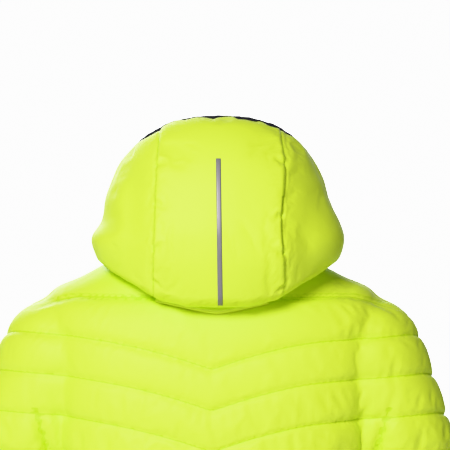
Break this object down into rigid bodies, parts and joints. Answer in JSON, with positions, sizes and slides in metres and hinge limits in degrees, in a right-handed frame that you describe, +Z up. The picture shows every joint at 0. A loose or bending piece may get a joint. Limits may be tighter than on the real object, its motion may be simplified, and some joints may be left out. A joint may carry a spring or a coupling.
{
  "type": "ski jacket",
  "caption": "Hooded padded ski jacket filled out as when worn, with quilted back, zips that run, wrist tabs that open and a hood that lifts.",
  "frame": {"origin": "centre of the neck opening, at the height of the side neck points where the shoulders start", "axes": "+Z up along the body, the front with its zip faces -Y, +X towards the wearer's left"},
  "size_m": [0.7384, 0.3227, 0.895],
  "materials": {
    "shell": "matte coated polyester, neon yellow, padded",
    "lining": "smooth dark navy lining taffeta",
    "dark_trim": "woven dark tape and binding",
    "stretch": "dark stretch fleece",
    "reflective": "grey reflective tape",
    "plastic": "moulded dark plastic",
    "metal": "dark plated metal"
  },
  "bodies": {
    "jacket": {"back_panel": "shell", "back_yoke": "shell", "body_lining_back": "lining", "body_lining_left": "lining", "body_lining_right": "lining", "chest_pocket_bag": "dark_trim", "chest_pocket_zip": "dark_trim", "chin_guard": "stretch", "collar": "shell", "collar_lining": "lining", "cuff_left": "shell", "cuff_right": "shell", "front_panel_left": "shell", "front_panel_right": "shell", "front_yoke_left": "shell", "front_yoke_right": "shell", "hand_pocket_left_bag": "dark_trim", "hand_pocket_left_zip": "dark_trim", "hand_pocket_right_bag": "dark_trim", "hand_pocket_right_zip": "dark_trim", "hang_loop": "dark_trim", "hem_band": "shell", "hood_neck_panel": "shell", "pass_pocket_zip": "dark_trim", "sleeve_lining_left": "lining", "sleeve_lining_right": "lining", "sleeve_lower_left": "shell", "sleeve_lower_right": "shell", "sleeve_upper_left": "shell", "sleeve_upper_right": "shell", "snow_skirt": "stretch", "storm_flap": "dark_trim", "wrist_gaiter_left": "stretch", "wrist_gaiter_right": "stretch", "zip_box": "plastic", "zip_tape_left": "dark_trim", "zip_tape_right": "dark_trim", "zip_teeth_left": "plastic", "zip_teeth_right": "plastic"},
    "main_zip_slider_body": {"zip_slider": "metal"},
    "main_zip_puller_body": {"zip_puller": "plastic"},
    "hand_zip_left_slider_body": {"hand_pocket_left_slider": "metal"},
    "hand_zip_left_puller_body": {"hand_pocket_left_puller": "plastic"},
    "hand_zip_right_slider_body": {"hand_pocket_right_slider": "metal"},
    "hand_zip_right_puller_body": {"hand_pocket_right_puller": "plastic"},
    "chest_zip_slider_body": {"chest_pocket_slider": "metal"},
    "chest_zip_puller_body": {"chest_pocket_puller": "plastic"},
    "pass_zip_slider_body": {"pass_pocket_slider": "metal"},
    "pass_zip_puller_body": {"pass_pocket_puller": "plastic"},
    "cuff_tab_left_body": {"cuff_tab_left": "dark_trim"},
    "cuff_tab_right_body": {"cuff_tab_right": "dark_trim"},
    "hood": {"hood_centre_panel": "shell", "hood_lining": "lining", "hood_rim_binding": "dark_trim", "hood_side_left": "shell", "hood_side_right": "shell", "reflective_strip": "reflective"}
  },
  "joints": [
    {"name": "main_zip_slide", "type": "slide", "parent": "jacket", "child": "main_zip_slider_body", "axis": [0, 0.0742, 0.9972], "range_m": [-0.735, 0]},
    {"name": "main_zip_pull", "type": "hinge", "parent": "main_zip_slider_body", "child": "main_zip_puller_body", "pos_m": [0, -0.09055, 0.01839], "axis": [-1, 0, 0], "range_deg": [0, 150]},
    {"name": "hand_zip_left_slide", "type": "slide", "parent": "jacket", "child": "hand_zip_left_slider_body", "axis": [-0.2699, -0.0535, 0.9614], "range_m": [-0.142, 0]},
    {"name": "hand_zip_left_pull", "type": "hinge", "parent": "hand_zip_left_slider_body", "child": "hand_zip_left_puller_body", "pos_m": [0.11122, -0.11463, -0.43844], "axis": [-0.8574, -0.4411, -0.2652], "range_deg": [0, 150]},
    {"name": "hand_zip_right_slide", "type": "slide", "parent": "jacket", "child": "hand_zip_right_slider_body", "axis": [0.2699, -0.0535, 0.9614], "range_m": [-0.142, 0]},
    {"name": "hand_zip_right_pull", "type": "hinge", "parent": "hand_zip_right_slider_body", "child": "hand_zip_right_puller_body", "pos_m": [-0.11122, -0.11463, -0.43844], "axis": [-0.8574, 0.4411, 0.2652], "range_deg": [0, 150]},
    {"name": "chest_zip_slide", "type": "slide", "parent": "jacket", "child": "chest_zip_slider_body", "axis": [-0.0641, 0.0191, 0.9978], "range_m": [-0.108, 0]},
    {"name": "chest_zip_pull", "type": "hinge", "parent": "chest_zip_slider_body", "child": "chest_zip_puller_body", "pos_m": [0.09957, -0.10729, -0.23123], "axis": [-0.9756, -0.2117, -0.0586], "range_deg": [0, 150]},
    {"name": "pass_zip_slide", "type": "slide", "parent": "jacket", "child": "pass_zip_slider_body", "axis": [-0.142, 0.3003, 0.9432], "range_m": [-0.068, 0]},
    {"name": "pass_zip_pull", "type": "hinge", "parent": "pass_zip_slider_body", "child": "pass_zip_puller_body", "pos_m": [0.34369, -0.07467, -0.4846], "axis": [-0.6868, -0.7161, 0.1246], "range_deg": [0, 150]},
    {"name": "cuff_tab_left_open", "type": "hinge", "parent": "jacket", "child": "cuff_tab_left_body", "pos_m": [0.3542, -0.05193, -0.66568], "axis": [-0.0871, 0.335, 0.9382], "range_deg": [0, 70]},
    {"name": "cuff_tab_right_open", "type": "hinge", "parent": "jacket", "child": "cuff_tab_right_body", "pos_m": [-0.3542, -0.05193, -0.66568], "axis": [-0.0871, -0.335, -0.9382], "range_deg": [0, 70]},
    {"name": "hood_raise", "type": "hinge", "parent": "jacket", "child": "hood", "pos_m": [0, -0.055, -0.03], "axis": [1, 0, 0], "range_deg": [0, 50]}
  ]
}
